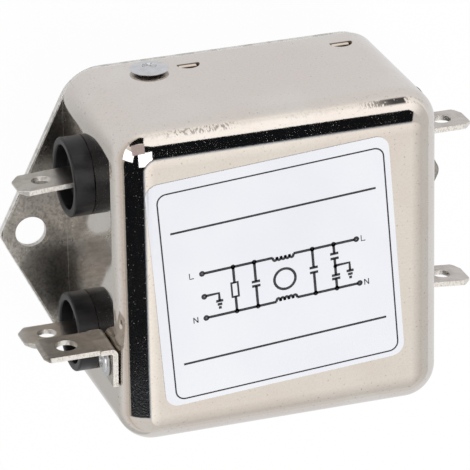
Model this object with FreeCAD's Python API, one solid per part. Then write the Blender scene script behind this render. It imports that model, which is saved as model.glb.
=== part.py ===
import FreeCAD, Part
import math
import os
from FreeCAD import Matrix, Vector

# Small chassis-mount EMI line filter: a drawn can on a flat base plate with two ears,
# two tab terminals on each end wall, a ground tab, and the filter circuit inside.
# Millimetres. The base plate's underside lies in Z = 0 with the label facing +Z,
# the input terminals point to -X, and the origin is midway between the ear holes.

# Can, a deep-drawn steel cup with its mouth on the plate
can_length = 50.0
can_depth = 50.0
can_height = 28.6
can_wall = 0.8
can_corner_radius = 5.3
can_face_radius = 5.3

# Base plate and its two ears
plate_thickness = 1.0
plate_setback = 0.1
plate_rollover = 0.35
plate_corner_radius = 7.0
flange_length = 70.6
ear_edge_angle = 63.5
ear_tip_radius = 2.0
mounting_hole_from_tip = 4.65
mounting_hole_radius = 2.4

# Angle strips welded to the plate, to which the can's long walls are riveted
strip_start_from_wall = 8.0
strip_end_from_wall = 5.6
strip_thickness = 1.0
strip_foot = 4.6
strip_height = 8.6
strip_bend_radius = 0.5
strip_end_radius = 1.5

# Blind rivets through the can wall and the strips
plate_rivet_from_wall = 12.35
plate_rivet_height = 5.3
plate_rivet_head_radius = 2.95
plate_rivet_dome = 0.95
plate_rivet_shank_radius = 1.6
rivet_rim = 0.2
rivet_clearance = 0.05
rivet_bulb_growth = 0.65
rivet_bulb_length = 2.6
rivet_bulb_chamfer = 0.6
rivet_recess_share = 0.38
rivet_recess_depth = 0.7

# Half-moon lances pressed in from the can's long walls
first_lance_from_wall = 18.6
last_lance_from_wall = 7.2
lance_height = 4.6
lance_radius = 1.8
lance_depth = 0.7
lance_clearance = 0.3

# Terminals: tabs of 6.3 x 0.8 held in round bushings
terminal_from_side_wall = 12.4
terminal_axis_share = 0.357
tab_width = 6.3
tab_thickness = 0.8
tab_reach = 10.6
tab_tip_chamfer = 1.3
tab_bevel_length = 0.9
tab_tip_thickness = 0.35
tab_hole_radius = 1.4
tab_hole_from_tip = 4.0
tab_slot_clearance = 0.08
tab_shoulder_width = 7.8
tab_shoulder_length = 2.3
tab_pin_width = 1.2
tab_corner_radius = 0.4
tab_bend_start = 0.9
input_line_bend_angle = 3.0
output_neutral_bend_angle = 5.0

# Terminal bushings, moulded with a cup round the root of each tab
bushing_radius = 6.0
bushing_bore_radius = 4.8
bushing_protrusion = 3.1
bushing_floor = 0.9
bushing_neck_radius = 4.9
bushing_hole_clearance = 0.1
bushing_flange_radius = 5.6
bushing_flange_thickness = 1.0
bushing_lip_radius = 0.3

# Ground tab, an angle riveted to the input wall
ground_thickness = 0.8
ground_centre_share = 0.427
ground_strip_width = 6.9
ground_blade_width = 6.3
ground_shoulder_reach = 2.6
ground_reach = 11.0
ground_leg_length = 6.3
ground_bend_radius = 0.3
ground_bevel_length = 0.65
ground_tip_thickness = 0.3
ground_hole_radius = 1.65
ground_tip_chamfer = 0.9
ground_turn_angle = 3.0
ground_hole_reach = 6.9
ground_rivet_below_top = 3.5
ground_rivet_head_radius = 2.4
ground_rivet_dome = 0.85
ground_rivet_shank_radius = 1.2

# Label, a film stuck on slightly askew, so that one corner follows the can's edge
label_thickness = 0.15
label_from_input_wall = 4.9
label_from_output_wall = 7.6
label_from_neutral_wall = 8.0
label_from_line_wall = 6.2
label_corner_radius = 2.0
label_turn_angle = 4.1

# Insulating liner and circuit board
liner_thickness = 0.4
liner_clearance = 0.4
board_thickness = 1.6
board_level = 3.5
board_clearance = 0.5
board_corner_radius = 1.5
pin_length_below = 1.2
pin_hole_clearance = 0.12
solder_radius = 1.15
solder_tip_radius = 0.75
solder_height = 0.9

# Box film capacitors across the line, one at each end of the choke
box_cap_from_terminal = 3.6
box_cap_width = 7.4
box_cap_height = 14.0
box_cap_edge_radius = 0.7
box_cap_pin_from_end = 1.5
box_cap_pin_radius = 0.4
box_cap_edge_gap = 1.3

# Disc capacitors to ground and the bleed resistor
disc_cap_radius = 4.0
disc_cap_thickness = 3.4
disc_cap_edge_radius = 1.3
disc_cap_lift = 1.0
disc_cap_pin_pitch = 5.0
disc_cap_x = 6.0
thin_pin_radius = 0.3
edge_row_gap = 1.2
resistor_x = -8.0
resistor_radius = 1.2
resistor_cap_radius = 1.35
resistor_cap_length = 1.3
resistor_length = 6.4
resistor_pin_pitch = 10.0
resistor_lead_bend = 0.8
resistor_lift = 0.1

# Common-mode choke: a ring core with one winding on each half
wire_radius = 0.6
turn_pitch = 1.7
winding_margin_angle = 15.0
winding_bend_radius = 0.9
winding_gap = 0.05
core_hole_share = 0.51
core_height = 9.0
core_edge_radius = 0.8
choke_clearance = 1.0
choke_base_thickness = 1.2
choke_base_gap = 0.1
choke_divider_thickness = 1.0
choke_divider_clearance = 0.2

# Ground lug and its lead, from the ground rivet to the board
lug_thickness = 0.5
lug_ring_radius = 3.1
lug_tail_width = 3.0
lug_tail_length = 6.0
lead_radius = 0.7
lead_from_tail_end = 1.5
lead_bend_radius = 2.4
lead_bend_reach = 3.4

# Levels and planes that follow from the sizes above
rim_level = plate_thickness
face_level = rim_level + can_height
half_length = can_length / 2
half_depth = can_depth / 2
inner_length = half_length - can_wall
inner_depth = half_depth - can_wall
mounting_pitch = flange_length - 2 * mounting_hole_from_tip
strip_start = -half_length + strip_start_from_wall
strip_end = half_length - strip_end_from_wall
strip_face = inner_depth - strip_thickness
plate_rivet_x = -half_length + plate_rivet_from_wall
lance_places = (-half_length + first_lance_from_wall, half_length - last_lance_from_wall)
terminal_offset = half_depth - terminal_from_side_wall
terminal_height = rim_level + can_height * terminal_axis_share
bushing_top = terminal_height + bushing_radius
bushing_inner_face = inner_length - bushing_flange_thickness
tab_inner_end = bushing_inner_face - tab_shoulder_length
tab_pin_x = tab_inner_end + tab_pin_width / 2
board_top = board_level + board_thickness
board_half_length = bushing_inner_face - board_clearance
board_half_depth = inner_depth - strip_foot - liner_clearance
pin_end = board_level - pin_length_below
box_cap_x = board_half_length - box_cap_edge_gap - box_cap_width / 2
box_cap_half_length = terminal_offset - box_cap_from_terminal
edge_row_y = board_half_depth - edge_row_gap - disc_cap_thickness / 2
ground_centre = bushing_top + (face_level - bushing_top) * ground_centre_share
ground_strip_low = ground_centre - ground_strip_width / 2
ground_strip_high = ground_centre + ground_strip_width / 2
ground_blade_low = ground_centre - ground_blade_width / 2
ground_blade_high = ground_centre + ground_blade_width / 2
ground_rivet_y = -terminal_offset
ground_top = ground_rivet_y + ground_rivet_below_top
lead_y = ground_rivet_y - lug_tail_length + lead_from_tail_end
lead_x = -inner_length + lug_thickness + lead_bend_reach

same_level = 1e-6
up = Vector(0, 0, 1)
along_x = Vector(1, 0, 0)
along_y = Vector(0, 1, 0)


def rounded_path(points, radii, closed):
    """Edges through the points, with a tangent arc of the given radius at each corner."""
    count = len(points)
    stations = []
    for i in range(count):
        here = points[i]
        at_end = not closed and i in (0, count - 1)
        if at_end or radii[i] == 0:
            stations.append((here, None, here))
            continue
        to_before = (points[i - 1] - here).normalize()
        to_after = (points[(i + 1) % count] - here).normalize()
        half_angle = to_before.getAngle(to_after) / 2
        setback = radii[i] / math.tan(half_angle)
        sagitta = radii[i] / math.sin(half_angle) - radii[i]
        middle = here + (to_before + to_after).normalize() * sagitta
        stations.append((here + to_before * setback, middle, here + to_after * setback))
    edges = []
    for i in range(count):
        start, middle, end = stations[i]
        if middle is not None:
            edges.append(Part.Arc(start, middle, end).toShape())
        if i == count - 1 and not closed:
            break
        following = stations[(i + 1) % count][0]
        if (following - end).Length > same_level:
            edges.append(Part.LineSegment(end, following).toShape())
    return edges


def rounded_face(points, radii):
    """Flat face inside a closed outline with rounded corners."""
    return Part.Face(Part.Wire(rounded_path(points, radii, True)))


def rectangle(low_x, high_x, low_y, high_y, radius, level):
    """Flat rounded rectangle at one height."""
    corners = [
        Vector(low_x, low_y, level),
        Vector(high_x, low_y, level),
        Vector(high_x, high_y, level),
        Vector(low_x, high_y, level),
    ]
    return rounded_face(corners, [radius] * 4)


def rod(points, bend_radius, radius):
    """Round wire of one radius along straight runs joined by tangent arcs."""
    radii = [bend_radius] * len(points)
    path = Part.Wire(rounded_path(points, radii, False))
    heading = points[1] - points[0]
    section = Part.Wire(Part.Circle(points[0], heading, radius).toShape())
    return path.makePipeShell([section], True, False)


def box_between(low, high):
    """Upright box between two opposite corners."""
    size = high - low
    return Part.makeBox(size.x, size.y, size.z, low)


def opposite(shape):
    """Copy of a shape turned half a turn about the vertical axis."""
    turned = shape.copy()
    turned.rotate(Vector(0, 0, 0), up, 180)
    return turned


def mirrored_in_y(shape):
    """Copy of a shape mirrored from the +Y wall to the -Y wall."""
    return shape.mirror(Vector(0, 0, 0), along_y)


def can_block(growth):
    """Solid with the can's outer form, grown outwards by one distance."""
    half_x = half_length + growth
    half_y = half_depth + growth
    outline = rectangle(-half_x, half_x, -half_y, half_y, can_corner_radius + growth, rim_level)
    block = outline.extrude(up * (can_height + growth))
    top = rim_level + can_height + growth
    rim_edges = [edge for edge in block.Edges if abs(edge.BoundBox.ZMin - top) < same_level]
    return block.makeFillet(can_face_radius + growth, rim_edges)


def lance_wedge(place, outer_face):
    """Half-moon wedge, deepest along its straight edge next to the base plate."""
    profile = Part.makePolygon([
        Vector(place - lance_radius, outer_face, lance_height),
        Vector(place - lance_radius, outer_face, lance_height + lance_radius),
        Vector(place - lance_radius, outer_face - lance_depth, lance_height),
        Vector(place - lance_radius, outer_face, lance_height),
    ])
    wedge = Part.Face(profile).extrude(along_x * 2 * lance_radius)
    start = Vector(place, outer_face - 2 * lance_depth, lance_height)
    disc = Part.makeCylinder(lance_radius, 3 * lance_depth, start, along_y)
    return wedge.common(disc)


def make_can():
    """Drawn can with terminal holes, rivet holes and half-moon lances."""
    can = can_block(0).cut(can_block(-can_wall))
    hole_radius = bushing_neck_radius + bushing_hole_clearance
    cutters = []
    for y in (-terminal_offset, terminal_offset):
        start = Vector(-half_length - can_wall, y, terminal_height)
        cutters.append(Part.makeCylinder(hole_radius, can_length + 2 * can_wall, start, along_x))
    start = Vector(plate_rivet_x, -half_depth - can_wall, plate_rivet_height)
    rivet_hole_radius = plate_rivet_shank_radius + rivet_clearance
    cutters.append(Part.makeCylinder(rivet_hole_radius, can_depth + 2 * can_wall, start, along_y))
    start = Vector(-half_length - can_wall, ground_rivet_y, ground_centre)
    ground_hole_radius_in_wall = ground_rivet_shank_radius + rivet_clearance
    cutters.append(Part.makeCylinder(ground_hole_radius_in_wall, 3 * can_wall, start, along_x))
    can = can.cut(cutters)
    for place in lance_places:
        pocket = lance_wedge(place, half_depth)
        tongue = lance_wedge(place, inner_depth)
        can = can.fuse([tongue, mirrored_in_y(tongue)])
        can = can.cut([pocket, mirrored_in_y(pocket)])
    return can


def make_base_plate():
    """Flat plate whose long edges run out into two triangular ears with holes."""
    slope = math.radians(ear_edge_angle)
    tip = flange_length / 2 + ear_tip_radius * (1 / math.sin(slope) - 1)
    side = half_depth - plate_setback
    shoulder = tip - side / math.tan(slope)
    corners = [
        Vector(tip, 0, 0),
        Vector(shoulder, side, 0),
        Vector(-shoulder, side, 0),
        Vector(-tip, 0, 0),
        Vector(-shoulder, -side, 0),
        Vector(shoulder, -side, 0),
    ]
    corner = plate_corner_radius
    radii = [ear_tip_radius, corner, corner, ear_tip_radius, corner, corner]
    plate = rounded_face(corners, radii).extrude(up * plate_thickness)
    punched = [edge for edge in plate.Edges if edge.BoundBox.ZMin > plate_thickness / 2]
    plate = plate.makeFillet(plate_rollover, punched)
    holes = []
    for x in (-mounting_pitch / 2, mounting_pitch / 2):
        holes.append(Part.makeCylinder(mounting_hole_radius, plate_thickness, Vector(x, 0, 0)))
    return plate.cut(holes)


def make_rivet_strip():
    """Angle strip on the plate along the +Y wall, open where the lances reach in."""
    heel = Vector(strip_start, inner_depth, rim_level)
    foot_end = Vector(strip_start, inner_depth - strip_foot, rim_level)
    inner_corner = Vector(strip_start, strip_face, rim_level + strip_thickness)
    top = rim_level + strip_height
    corners = [
        foot_end,
        heel,
        Vector(strip_start, inner_depth, top),
        Vector(strip_start, strip_face, top),
        inner_corner,
        foot_end + up * strip_thickness,
    ]
    outer_radius = strip_bend_radius + strip_thickness
    profile = rounded_face(corners, [0, outer_radius, 0, 0, strip_bend_radius, 0])
    strip = profile.extrude(along_x * (strip_end - strip_start))
    windows = []
    for place in lance_places:
        side = lance_radius + lance_clearance
        low = Vector(place - side, strip_face - strip_thickness, lance_height - lance_clearance)
        high = Vector(place + side, half_depth, lance_height + side)
        windows.append(box_between(low, high))
    start = Vector(plate_rivet_x, strip_face - strip_thickness, plate_rivet_height)
    hole_radius = plate_rivet_shank_radius + rivet_clearance
    windows.append(Part.makeCylinder(hole_radius, 3 * strip_thickness, start, along_y))
    strip = strip.cut(windows)
    ends = []
    for edge in strip.Edges:
        box = edge.BoundBox
        across = box.YLength > strip_thickness / 2 and box.XLength < same_level and box.ZLength < same_level
        if across and abs(box.ZMin - top) < same_level:
            ends.append(edge)
    return strip.makeFillet(strip_end_radius, ends)


def make_rivet(head_radius, dome, shank_radius, grip):
    """Set blind rivet on the Z axis, with its head above Z = 0 and its bulb below the grip."""
    recess_radius = head_radius * rivet_recess_share
    crown = dome - rivet_rim
    sphere_radius = (head_radius ** 2 + crown ** 2) / (2 * crown)
    centre = dome - sphere_radius

    def dome_height(radius):
        return centre + math.sqrt(sphere_radius ** 2 - radius ** 2)

    middle_radius = (recess_radius + head_radius) / 2
    bulb_radius = shank_radius + rivet_bulb_growth
    bulb_end = -grip - rivet_bulb_length
    recess_level = dome_height(recess_radius)
    recess_floor = dome - rivet_recess_depth
    dome_start = Vector(recess_radius, 0, recess_level)
    dome_middle = Vector(middle_radius, 0, dome_height(middle_radius))
    dome_end = Vector(head_radius, 0, rivet_rim)
    lower = [
        dome_end,
        Vector(head_radius, 0, 0),
        Vector(shank_radius, 0, 0),
        Vector(shank_radius, 0, -grip),
        Vector(bulb_radius, 0, -grip),
        Vector(bulb_radius, 0, bulb_end + rivet_bulb_chamfer),
        Vector(bulb_radius - rivet_bulb_chamfer, 0, bulb_end),
        Vector(0, 0, bulb_end),
        Vector(0, 0, recess_floor),
        Vector(recess_radius, 0, recess_floor),
        dome_start,
    ]
    edges = [Part.Arc(dome_start, dome_middle, dome_end).toShape()]
    edges += Part.makePolygon(lower).Edges
    return Part.Face(Part.Wire(edges)).revolve(Vector(0, 0, 0), up, 360)


def make_plate_rivet():
    """Rivet through the +Y wall and the angle strip behind it."""
    grip = can_wall + strip_thickness
    rivet = make_rivet(plate_rivet_head_radius, plate_rivet_dome, plate_rivet_shank_radius, grip)
    rivet.rotate(Vector(0, 0, 0), along_x, -90)
    rivet.translate(Vector(plate_rivet_x, half_depth, plate_rivet_height))
    return rivet


def make_ground_rivet():
    """Rivet through the ground tab's leg, the input wall and the lug inside it."""
    grip = ground_thickness + can_wall + lug_thickness
    rivet = make_rivet(ground_rivet_head_radius, ground_rivet_dome, ground_rivet_shank_radius, grip)
    rivet.rotate(Vector(0, 0, 0), along_y, -90)
    rivet.translate(Vector(-half_length - ground_thickness, ground_rivet_y, ground_centre))
    return rivet


def make_tab(bend_angle):
    """Terminal tab pointing to +X: blade, shoulder inside the bushing and a pin to the board."""
    half_width = tab_width / 2
    half_shoulder = tab_shoulder_width / 2
    tip = half_length + tab_reach
    side = -2 * tab_thickness
    centre = terminal_height
    chamfer = tab_tip_chamfer
    outline = [
        Vector(tip, side, centre - half_width + chamfer),
        Vector(tip, side, centre + half_width - chamfer),
        Vector(tip - chamfer, side, centre + half_width),
        Vector(bushing_inner_face, side, centre + half_width),
        Vector(bushing_inner_face, side, centre + half_shoulder),
        Vector(tab_inner_end, side, centre + half_shoulder),
        Vector(tab_inner_end, side, pin_end),
        Vector(tab_inner_end + tab_pin_width, side, pin_end),
        Vector(tab_inner_end + tab_pin_width, side, centre - half_shoulder),
        Vector(bushing_inner_face, side, centre - half_shoulder),
        Vector(bushing_inner_face, side, centre - half_width),
        Vector(tip - chamfer, side, centre - half_width),
    ]
    soft = tab_corner_radius
    radii = [soft, soft, soft, 0, 0, soft, 0, 0, soft, 0, 0, soft]
    blank = rounded_face(outline, radii).extrude(along_y * 4 * tab_thickness)
    hole_start = Vector(tip - tab_hole_from_tip, side, centre)
    blank = blank.cut(Part.makeCylinder(tab_hole_radius, 4 * tab_thickness, hole_start, along_y))
    angle = math.radians(bend_angle)
    heading = Vector(math.cos(angle), math.sin(angle), 0)
    across = Vector(-math.sin(angle), math.cos(angle), 0)
    mitre = Vector(-math.tan(angle / 2), 1, 0) * (tab_thickness / 2)
    bend = Vector(half_length + tab_bend_start, 0, 0)
    bevel = bend + heading * (tab_reach - tab_bend_start - tab_bevel_length)
    end = bend + heading * (tab_reach - tab_bend_start)
    inner = Vector(tab_inner_end, 0, 0)
    half_thick = tab_thickness / 2
    half_tip = tab_tip_thickness / 2
    section = [
        inner - along_y * half_thick,
        bend - mitre,
        bevel - across * half_thick,
        end - across * half_tip,
        end + across * half_tip,
        bevel + across * half_thick,
        bend + mitre,
        inner + along_y * half_thick,
        inner - along_y * half_thick,
    ]
    if bend_angle == 0:
        section = [point for point in section if point not in (bend - mitre, bend + mitre)]
    slab = Part.Face(Part.makePolygon(section)).extrude(up * 2 * terminal_height)
    return blank.common(slab)


def make_bushing():
    """Moulded bushing on the +X wall: outer cup, neck through the wall and inner flange."""
    outer_end = half_length + bushing_protrusion
    floor = half_length + bushing_floor
    profile = [
        Vector(bushing_inner_face, 0, 0),
        Vector(bushing_inner_face, bushing_flange_radius, 0),
        Vector(inner_length, bushing_flange_radius, 0),
        Vector(inner_length, bushing_neck_radius, 0),
        Vector(half_length, bushing_neck_radius, 0),
        Vector(half_length, bushing_radius, 0),
        Vector(outer_end, bushing_radius, 0),
        Vector(outer_end, bushing_bore_radius, 0),
        Vector(floor, bushing_bore_radius, 0),
        Vector(floor, 0, 0),
    ]
    lip = bushing_lip_radius
    face = rounded_face(profile, [0, lip, 0, 0, 0, 0, lip, lip, lip, 0])
    body = face.revolve(Vector(0, 0, 0), along_x, 360)
    half_slot_width = tab_width / 2 + tab_slot_clearance
    half_slot_thickness = tab_thickness / 2 + tab_slot_clearance
    low = Vector(bushing_inner_face - bushing_floor, -half_slot_thickness, -half_slot_width)
    high = Vector(outer_end, half_slot_thickness, half_slot_width)
    body = body.cut(box_between(low, high))
    body.translate(up * terminal_height)
    return body


def make_ground_tab():
    """Angle of strip: a narrow blade standing out from the wall and a riveted leg."""
    wall = -half_length
    blade_end = wall - ground_reach
    underside = ground_top - ground_thickness
    leg_face = wall - ground_thickness
    leg_end = ground_top - ground_leg_length
    half_tip = ground_tip_thickness / 2
    middle = ground_top - ground_thickness / 2
    bevel_start = blade_end + ground_bevel_length
    outline = [
        Vector(wall, ground_top, ground_strip_low),
        Vector(wall, leg_end, ground_strip_low),
        Vector(leg_face, leg_end, ground_strip_low),
        Vector(leg_face, underside, ground_strip_low),
        Vector(bevel_start, underside, ground_strip_low),
        Vector(blade_end, middle - half_tip, ground_strip_low),
        Vector(blade_end, middle + half_tip, ground_strip_low),
        Vector(bevel_start, ground_top, ground_strip_low),
    ]
    outer_radius = ground_bend_radius + ground_thickness
    profile = rounded_face(outline, [outer_radius, 0, 0, ground_bend_radius, 0, 0, 0, 0])
    angle = profile.extrude(up * (ground_strip_high - ground_strip_low))
    shoulder = wall - ground_shoulder_reach
    chamfer = ground_tip_chamfer
    plan = [
        Vector(wall, ground_top, ground_strip_low),
        Vector(shoulder, ground_top, ground_strip_low),
        Vector(shoulder, ground_top, ground_blade_low),
        Vector(blade_end + chamfer, ground_top, ground_blade_low),
        Vector(blade_end, ground_top, ground_blade_low + chamfer),
        Vector(blade_end, ground_top, ground_blade_high - chamfer),
        Vector(blade_end + chamfer, ground_top, ground_blade_high),
        Vector(shoulder, ground_top, ground_blade_high),
        Vector(shoulder, ground_top, ground_strip_high),
        Vector(wall, ground_top, ground_strip_high),
    ]
    soft = tab_corner_radius
    plan_face = rounded_face(plan, [0, soft, soft, soft, soft, soft, soft, 0, 0, 0])
    angle = angle.common(plan_face.extrude(along_y * -ground_leg_length))
    hole_start = Vector(wall - ground_hole_reach, underside, ground_centre)
    rivet_start = Vector(leg_face, ground_rivet_y, ground_centre)
    holes = [
        Part.makeCylinder(ground_hole_radius, ground_thickness, hole_start, along_y),
        Part.makeCylinder(
            ground_rivet_shank_radius + rivet_clearance, ground_thickness, rivet_start, along_x
        ),
    ]
    angle = angle.cut(holes)
    angle.rotate(rivet_start, along_x, ground_turn_angle)
    return angle


def make_label():
    """Film on the can's face, laid over the rounded edge where its corner passes it."""
    film = can_block(label_thickness).cut(can_block(0))
    start_level = face_level - can_face_radius
    low_x = -half_length + label_from_input_wall
    high_x = half_length - label_from_output_wall
    low_y = -half_depth + label_from_neutral_wall
    high_y = half_depth - label_from_line_wall
    outline = rectangle(low_x, high_x, low_y, high_y, label_corner_radius, start_level)
    outline.rotate(Vector(0, 0, 0), up, label_turn_angle)
    return film.common(outline.extrude(up * 2 * can_face_radius))


def make_liner():
    """Insulating sheet between the plate and the solder side of the board."""
    half_x = inner_length - liner_clearance
    half_y = inner_depth - strip_foot - liner_clearance
    sheet = rectangle(-half_x, half_x, -half_y, half_y, board_corner_radius, rim_level)
    return sheet.extrude(up * liner_thickness)


def round_pin(x, y, radius):
    """Straight pin from below the board to just above it."""
    return Part.makeCylinder(radius, board_top + 2 * radius - pin_end, Vector(x, y, pin_end))


def make_box_cap(side):
    """Box capacitor with its two pins, at one end of the board."""
    centre = side * box_cap_x
    half_x = box_cap_width / 2
    low = Vector(centre - half_x, -box_cap_half_length, board_top)
    high = Vector(centre + half_x, box_cap_half_length, board_top + box_cap_height)
    body = box_between(low, high)
    soft_edges = [edge for edge in body.Edges if edge.BoundBox.ZMax > board_top + same_level]
    body = body.makeFillet(box_cap_edge_radius, soft_edges)
    pins = [round_pin(centre, y, box_cap_pin_radius) for y in box_cap_pins()]
    return body.fuse(pins)


def box_cap_pins():
    """Y places of a box capacitor's pins."""
    pin_y = box_cap_half_length - box_cap_pin_from_end
    return (-pin_y, pin_y)


def make_disc_cap():
    """Dipped disc capacitor standing on its two leads along the +Y edge of the board."""
    centre_level = board_top + disc_cap_lift + disc_cap_radius
    start = Vector(disc_cap_x, edge_row_y - disc_cap_thickness / 2, centre_level)
    disc = Part.makeCylinder(disc_cap_radius, disc_cap_thickness, start, along_y)
    disc = disc.makeFillet(disc_cap_edge_radius, [disc.Edges[0], disc.Edges[2]])
    leads = []
    for x in disc_cap_pins():
        height = centre_level - disc_cap_radius / 2 - pin_end
        leads.append(Part.makeCylinder(thin_pin_radius, height, Vector(x, edge_row_y, pin_end)))
    return disc.fuse(leads)


def disc_cap_pins():
    """X places of a disc capacitor's leads."""
    return (disc_cap_x - disc_cap_pin_pitch / 2, disc_cap_x + disc_cap_pin_pitch / 2)


def resistor_pins():
    """X places of the resistor's leads."""
    return (resistor_x - resistor_pin_pitch / 2, resistor_x + resistor_pin_pitch / 2)


def make_resistor():
    """Axial bleed resistor lying on the board, with end caps and bent leads."""
    axis_level = board_top + resistor_cap_radius + resistor_lift
    left, right = resistor_pins()
    lead = rod(
        [
            Vector(left, edge_row_y, pin_end),
            Vector(left, edge_row_y, axis_level),
            Vector(right, edge_row_y, axis_level),
            Vector(right, edge_row_y, pin_end),
        ],
        resistor_lead_bend,
        thin_pin_radius,
    )
    start = resistor_x - resistor_length / 2
    end = resistor_x + resistor_length / 2
    barrel = Part.makeCylinder(
        resistor_radius, resistor_length, Vector(start, edge_row_y, axis_level), along_x
    )
    pieces = [barrel]
    for x in (start, end - resistor_cap_length):
        base = Vector(x, edge_row_y, axis_level)
        pieces.append(Part.makeCylinder(resistor_cap_radius, resistor_cap_length, base, along_x))
    return lead.fuse(pieces)


# Choke sizes that follow from the room between the capacitors
room_along = box_cap_x - box_cap_width / 2 - choke_clearance
room_across = edge_row_y - disc_cap_thickness / 2 - choke_clearance
choke_radius = min(room_along, room_across)
outer_run_radius = choke_radius - wire_radius
core_radius = outer_run_radius - wire_radius - winding_gap
core_hole_radius = core_radius * core_hole_share
inner_run_radius = core_hole_radius - wire_radius - winding_gap
winding_angle = 180 - 2 * winding_margin_angle
winding_turns = int(math.radians(winding_angle) * inner_run_radius / turn_pitch)
low_run_level = board_top + choke_base_thickness + choke_base_gap + wire_radius
core_level = low_run_level + wire_radius + winding_gap
core_top = core_level + core_height
high_run_level = core_top + winding_gap + wire_radius


def around(radius, angle, level):
    """Point at a radius and angle about the choke's axis."""
    turn = math.radians(angle)
    return Vector(radius * math.cos(turn), radius * math.sin(turn), level)


def winding_ends():
    """Places where the +Y winding's two ends go down into the board."""
    start = around(outer_run_radius, winding_margin_angle, pin_end)
    end = around(outer_run_radius, 180 - winding_margin_angle, pin_end)
    return (start, end)


def make_winding():
    """One layer of round wire on the +Y half of the core, ending in two pins."""
    step = winding_angle / winding_turns
    start, end = winding_ends()
    points = [start]
    for turn in range(winding_turns):
        angle = winding_margin_angle + turn * step
        if turn > 0:
            points.append(around(outer_run_radius, angle, low_run_level))
        points.append(around(outer_run_radius, angle, high_run_level))
        points.append(around(inner_run_radius, angle, high_run_level))
        points.append(around(inner_run_radius, angle, low_run_level))
    points.append(around(outer_run_radius, 180 - winding_margin_angle, low_run_level))
    points.append(end)
    return rod(points, winding_bend_radius, wire_radius)


def make_core():
    """Ring core with softened edges."""
    base = Vector(0, 0, core_level)
    ring = Part.makeCylinder(core_radius, core_height, base)
    ring = ring.cut(Part.makeCylinder(core_hole_radius, core_height, base))
    circles = [edge for edge in ring.Edges if edge.BoundBox.ZLength < same_level]
    return ring.makeFillet(core_edge_radius, circles)


def make_choke_base():
    """Moulded base under the choke, with the wall that parts the two windings."""
    base_radius = outer_run_radius - wire_radius - choke_divider_clearance
    base = Part.makeCylinder(base_radius, choke_base_thickness, Vector(0, 0, board_top))
    half_x = core_hole_radius - choke_divider_clearance
    half_y = choke_divider_thickness / 2
    low = Vector(-half_x, -half_y, board_top)
    high = Vector(half_x, half_y, core_top)
    return base.fuse(box_between(low, high)).removeSplitter()


def make_ground_lug():
    """Ring lug held by the ground rivet, dressed to the can's inner curve, with a tail."""
    plane = -inner_length
    centre = Vector(plane, ground_rivet_y, ground_centre)
    ring = Part.makeCylinder(lug_ring_radius, lug_thickness, centre, along_x)
    half_tail = lug_tail_width / 2
    low = Vector(plane, ground_rivet_y - lug_tail_length, ground_centre - half_tail)
    high = Vector(plane + lug_thickness, ground_rivet_y, ground_centre + half_tail)
    lug = ring.fuse(box_between(low, high)).removeSplitter()
    hole_radius = ground_rivet_shank_radius + rivet_clearance
    lug = lug.cut(Part.makeCylinder(hole_radius, lug_thickness, centre, along_x))
    return lug.common(can_block(-can_wall))


def make_ground_lead():
    """Insulated lead from the lug's tail down into the board."""
    start = Vector(-inner_length + lug_thickness, lead_y, ground_centre)
    corner = Vector(lead_x, lead_y, ground_centre)
    end = Vector(lead_x, lead_y, pin_end)
    return rod([start, corner, end], lead_bend_radius, lead_radius)


def tab_pin(x, y):
    """Rectangular pin of a terminal tab where it passes the board."""
    half_x = tab_pin_width / 2
    half_y = tab_thickness / 2
    low = Vector(x - half_x, y - half_y, pin_end)
    return box_between(low, Vector(x + half_x, y + half_y, board_top))


def board_pins():
    """Every pin that passes the board, as place, hole radius and solid."""
    pins = []
    diagonal = math.hypot(tab_pin_width, tab_thickness) / 2
    for x in (-tab_pin_x, tab_pin_x):
        for y in (-terminal_offset, terminal_offset):
            pins.append((x, y, diagonal, tab_pin(x, y)))
    rounds = []
    for x in (-box_cap_x, box_cap_x):
        for y in box_cap_pins():
            rounds.append((x, y, box_cap_pin_radius))
    for x in disc_cap_pins():
        for y in (-edge_row_y, edge_row_y):
            rounds.append((x, y, thin_pin_radius))
    for x in resistor_pins():
        rounds.append((x, edge_row_y, thin_pin_radius))
    for place in winding_ends():
        rounds.append((place.x, place.y, wire_radius))
        rounds.append((-place.x, -place.y, wire_radius))
    rounds.append((lead_x, lead_y, lead_radius))
    for x, y, radius in rounds:
        pins.append((x, y, radius, round_pin(x, y, radius)))
    return pins


def make_board(pins):
    """Circuit board with a hole for every pin."""
    sheet = rectangle(
        -board_half_length,
        board_half_length,
        -board_half_depth,
        board_half_depth,
        board_corner_radius,
        board_level,
    )
    holes = []
    for x, y, radius, solid in pins:
        start = Vector(x, y, board_level)
        holes.append(Part.makeCylinder(radius + pin_hole_clearance, board_thickness, start))
    return sheet.extrude(up * board_thickness).cut(holes)


def make_solder(pins):
    """A cone of solder round each pin, on the underside of the board."""
    joints = []
    for x, y, radius, solid in pins:
        wide = radius + solder_radius / 2
        narrow = radius + (solder_radius - solder_tip_radius) / 2
        base = Vector(x, y, board_level)
        cone = Part.makeCone(wide, narrow, solder_height, base, -up)
        joints.append(cone.cut(solid))
    return Part.makeCompound(joints)


def moved_in_y(shape, distance):
    """Copy of a shape moved along Y."""
    moved = shape.copy()
    moved.translate(along_y * distance)
    return moved


parts = {}
parts["can"] = make_can()
parts["base_plate"] = make_base_plate()
parts["label"] = make_label()

strip = make_rivet_strip()
plate_rivet = make_plate_rivet()
parts["rivet_strip_top"] = strip
parts["rivet_strip_bottom"] = mirrored_in_y(strip)
parts["plate_rivet_top"] = plate_rivet
parts["plate_rivet_bottom"] = mirrored_in_y(plate_rivet)

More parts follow.
